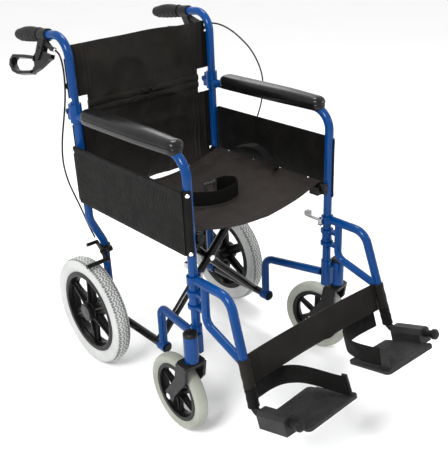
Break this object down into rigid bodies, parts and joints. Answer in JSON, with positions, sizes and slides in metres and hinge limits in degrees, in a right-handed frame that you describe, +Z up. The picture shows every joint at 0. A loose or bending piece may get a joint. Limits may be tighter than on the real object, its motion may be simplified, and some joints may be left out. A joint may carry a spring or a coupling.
{
  "type": "transport wheelchair",
  "caption": "Folding attendant-propelled wheelchair: scissor-braced tube frame, sling seat and drop-back, swing-away footrests, swivel front casters, handle-operated rear brakes.",
  "frame": {"origin": "centre of the whole chair seen from above, without the brake cables, at floor level", "axes": "+X to the seated user's left, +Y to the rear where the push handles are, +Z up"},
  "size_m": [0.7409, 1.051, 0.9203],
  "materials": {
    "frame_blue": "gloss enamel",
    "brace_black": "gloss enamel",
    "moulded_black": "satin",
    "guard_black": "embossed satin",
    "screw_chrome": "polished",
    "axle_steel": "zinc",
    "pad_black": "moulded skin",
    "grip_rubber": "matte",
    "bracket_grey": "satin",
    "lever_black": "satin",
    "tyre_grey": "matte, moulded tread",
    "wheel_black": "satin",
    "caster_tyre_grey": "smooth",
    "fork_black": "satin",
    "footplate_grey": "ribbed",
    "webbing_black": "woven",
    "cable_black": "smooth",
    "seat_nylon": "coated nylon",
    "back_nylon": "coated nylon"
  },
  "bodies": {
    "left_frame": {"left_side_frame": "frame_blue", "left_frame_fittings": "moulded_black", "left_skirt_guard": "guard_black", "left_frame_screws": "screw_chrome", "left_arm_pad": "pad_black", "left_rear_axle": "axle_steel", "left_brake_mount": "lever_black"},
    "left_cross": {"left_cross_arm": "brace_black", "left_seat_screws": "screw_chrome"},
    "left_back": {"left_back_cane": "frame_blue", "left_handgrip": "grip_rubber", "left_brake_bracket": "bracket_grey", "left_brake_cable": "cable_black"},
    "left_back_latch": {"left_back_latch": "lever_black"},
    "left_brake_lever": {"left_brake_lever": "lever_black"},
    "left_brake_shoe": {"left_brake_shoe": "lever_black"},
    "left_rear_wheel": {"left_rear_wheel": "wheel_black", "left_rear_tyre": "tyre_grey"},
    "left_caster": {"left_caster_fork": "fork_black", "left_caster_axle": "screw_chrome"},
    "left_caster_wheel": {"left_caster_wheel": "wheel_black", "left_caster_tyre": "caster_tyre_grey"},
    "left_hanger": {"left_hanger": "frame_blue", "left_plate_axle": "moulded_black"},
    "left_hanger_latch": {"left_hanger_latch": "axle_steel"},
    "left_footplate": {"left_footplate": "footplate_grey", "left_heel_loop": "webbing_black"},
    "right_frame": {"right_side_frame": "frame_blue", "right_frame_fittings": "moulded_black", "right_skirt_guard": "guard_black", "right_frame_screws": "screw_chrome", "right_arm_pad": "pad_black", "right_rear_axle": "axle_steel", "right_brake_mount": "lever_black"},
    "right_cross": {"right_cross_arm": "brace_black", "right_seat_screws": "screw_chrome", "cross_bolt": "screw_chrome", "seat_sling": "seat_nylon", "lap_belt": "webbing_black"},
    "right_back": {"right_back_cane": "frame_blue", "right_handgrip": "grip_rubber", "right_brake_bracket": "bracket_grey", "right_brake_cable": "cable_black", "back_sling": "back_nylon"},
    "right_back_latch": {"right_back_latch": "lever_black"},
    "right_brake_lever": {"right_brake_lever": "lever_black"},
    "right_brake_shoe": {"right_brake_shoe": "lever_black"},
    "right_rear_wheel": {"right_rear_wheel": "wheel_black", "right_rear_tyre": "tyre_grey"},
    "right_caster": {"right_caster_fork": "fork_black", "right_caster_axle": "screw_chrome"},
    "right_caster_wheel": {"right_caster_wheel": "wheel_black", "right_caster_tyre": "caster_tyre_grey"},
    "right_hanger": {"right_hanger": "frame_blue", "right_plate_axle": "moulded_black", "calf_band": "back_nylon"},
    "right_hanger_latch": {"right_hanger_latch": "axle_steel"},
    "right_footplate": {"right_footplate": "footplate_grey", "right_heel_loop": "webbing_black"}
  },
  "joints": [
    {"name": "frame_fold", "type": "hinge", "parent": "right_frame", "child": "right_cross", "pos_m": [-0.188, 0.06045, 0.127], "axis": [0, -1, 0], "range_deg": [0, 33], "deforming": ["seat_sling", "calf_band", "lap_belt"]},
    {"name": "cross_pivot", "type": "hinge", "parent": "right_cross", "child": "left_cross", "pos_m": [0, 0.06045, 0.31404], "axis": [0, -1, 0], "range_deg": [-66, 0]},
    {"name": "left_frame_fold", "type": "hinge", "parent": "left_cross", "child": "left_frame", "pos_m": [0.188, 0.06045, 0.127], "axis": [0, -1, 0], "range_deg": [0, 33]},
    {"name": "left_back_fold", "type": "hinge", "parent": "left_frame", "child": "left_back", "pos_m": [0.224, 0.29745, 0.722], "axis": [-1, 0, 0], "range_deg": [0, 90], "deforming": ["left_brake_cable"]},
    {"name": "left_back_latch_push", "type": "slide", "parent": "left_back", "child": "left_back_latch", "axis": [0, -1, 0], "range_m": [0, 0.004], "stiffness_N_per_m": 300, "springref_m": -0.001},
    {"name": "left_brake_squeeze", "type": "hinge", "parent": "left_back", "child": "left_brake_lever", "pos_m": [0.23711, 0.37945, 0.87052], "axis": [0.9272, 0, 0.3746], "range_deg": [0, 14], "stiffness_Nm_per_rad": 0.6, "springref_deg": -8.59},
    {"name": "left_shoe_turn", "type": "hinge", "parent": "left_frame", "child": "left_brake_shoe", "pos_m": [0.212, 0.24345, 0.338], "axis": [1, 0, 0], "range_deg": [0, 20]},
    {"name": "left_rear_roll", "type": "hinge", "parent": "left_frame", "child": "left_rear_wheel", "pos_m": [0.248, 0.27045, 0.157], "axis": [1, 0, 0], "continuous": true},
    {"name": "left_caster_swivel", "type": "hinge", "parent": "left_frame", "child": "left_caster", "pos_m": [0.257, -0.18655, 0.25], "axis": [0, 0, 1], "continuous": true},
    {"name": "left_caster_roll", "type": "hinge", "parent": "left_caster", "child": "left_caster_wheel", "pos_m": [0.24704, -0.12576, 0.0998], "axis": [0.9869, 0.1616, 0], "continuous": true},
    {"name": "left_hanger_swing", "type": "hinge", "parent": "left_frame", "child": "left_hanger", "pos_m": [0.227, -0.17255, 0.38], "axis": [0, 0, 1], "range_deg": [0, 90]},
    {"name": "left_hanger_release", "type": "hinge", "parent": "left_hanger", "child": "left_hanger_latch", "pos_m": [0.2035, -0.16855, 0.422], "axis": [0, 0, 1], "range_deg": [0, 25], "stiffness_Nm_per_rad": 0.2, "springref_deg": -11.46},
    {"name": "left_plate_flip", "type": "hinge", "parent": "left_hanger", "child": "left_footplate", "pos_m": [0.238, -0.38005, 0.1718], "axis": [0, -0.9483, 0.3173], "range_deg": [0, 85], "deforming": ["left_heel_loop"]},
    {"name": "right_back_fold", "type": "hinge", "parent": "right_frame", "child": "right_back", "pos_m": [-0.224, 0.29745, 0.722], "axis": [-1, 0, 0], "range_deg": [0, 90], "deforming": ["back_sling", "right_brake_cable"]},
    {"name": "right_back_latch_push", "type": "slide", "parent": "right_back", "child": "right_back_latch", "axis": [0, -1, 0], "range_m": [0, 0.004], "stiffness_N_per_m": 300, "springref_m": -0.001},
    {"name": "right_brake_squeeze", "type": "hinge", "parent": "right_back", "child": "right_brake_lever", "pos_m": [-0.23711, 0.37945, 0.87052], "axis": [0.9272, 0, -0.3746], "range_deg": [0, 14], "stiffness_Nm_per_rad": 0.6, "springref_deg": -8.59},
    {"name": "right_shoe_turn", "type": "hinge", "parent": "right_frame", "child": "right_brake_shoe", "pos_m": [-0.212, 0.24345, 0.338], "axis": [1, 0, 0], "range_deg": [0, 20]},
    {"name": "right_rear_roll", "type": "hinge", "parent": "right_frame", "child": "right_rear_wheel", "pos_m": [-0.248, 0.27045, 0.157], "axis": [1, 0, 0], "continuous": true},
    {"name": "right_caster_swivel", "type": "hinge", "parent": "right_frame", "child": "right_caster", "pos_m": [-0.257, -0.18655, 0.25], "axis": [0, 0, 1], "continuous": true},
    {"name": "right_caster_roll", "type": "hinge", "parent": "right_caster", "child": "right_caster_wheel", "pos_m": [-0.25485, -0.12499, 0.0998], "axis": [0.9994, -0.0349, 0], "continuous": true},
    {"name": "right_hanger_swing", "type": "hinge", "parent": "right_frame", "child": "right_hanger", "pos_m": [-0.227, -0.17255, 0.38], "axis": [0, 0, -1], "range_deg": [0, 90]},
    {"name": "right_hanger_release", "type": "hinge", "parent": "right_hanger", "child": "right_hanger_latch", "pos_m": [-0.2035, -0.16855, 0.422], "axis": [0, 0, -1], "range_deg": [0, 25], "stiffness_Nm_per_rad": 0.2, "springref_deg": -11.46},
    {"name": "right_plate_flip", "type": "hinge", "parent": "right_hanger", "child": "right_footplate", "pos_m": [-0.238, -0.38005, 0.1718], "axis": [0, 0.9483, -0.3173], "range_deg": [0, 85], "deforming": ["right_heel_loop"]}
  ],
  "couplings": [
    {"joint": "cross_pivot", "follows": "frame_fold", "ratio": -2},
    {"joint": "left_frame_fold", "follows": "frame_fold", "ratio": 1},
    {"joint": "left_shoe_turn", "follows": "left_brake_squeeze", "ratio": 1.4286},
    {"joint": "right_shoe_turn", "follows": "right_brake_squeeze", "ratio": 1.4286},
    {"joint": "left_back_fold", "follows": "right_back_fold", "ratio": 1},
    {"joint": "left_plate_flip", "follows": "frame_fold", "ratio": 2.5758},
    {"joint": "right_plate_flip", "follows": "frame_fold", "ratio": 2.5758}
  ]
}
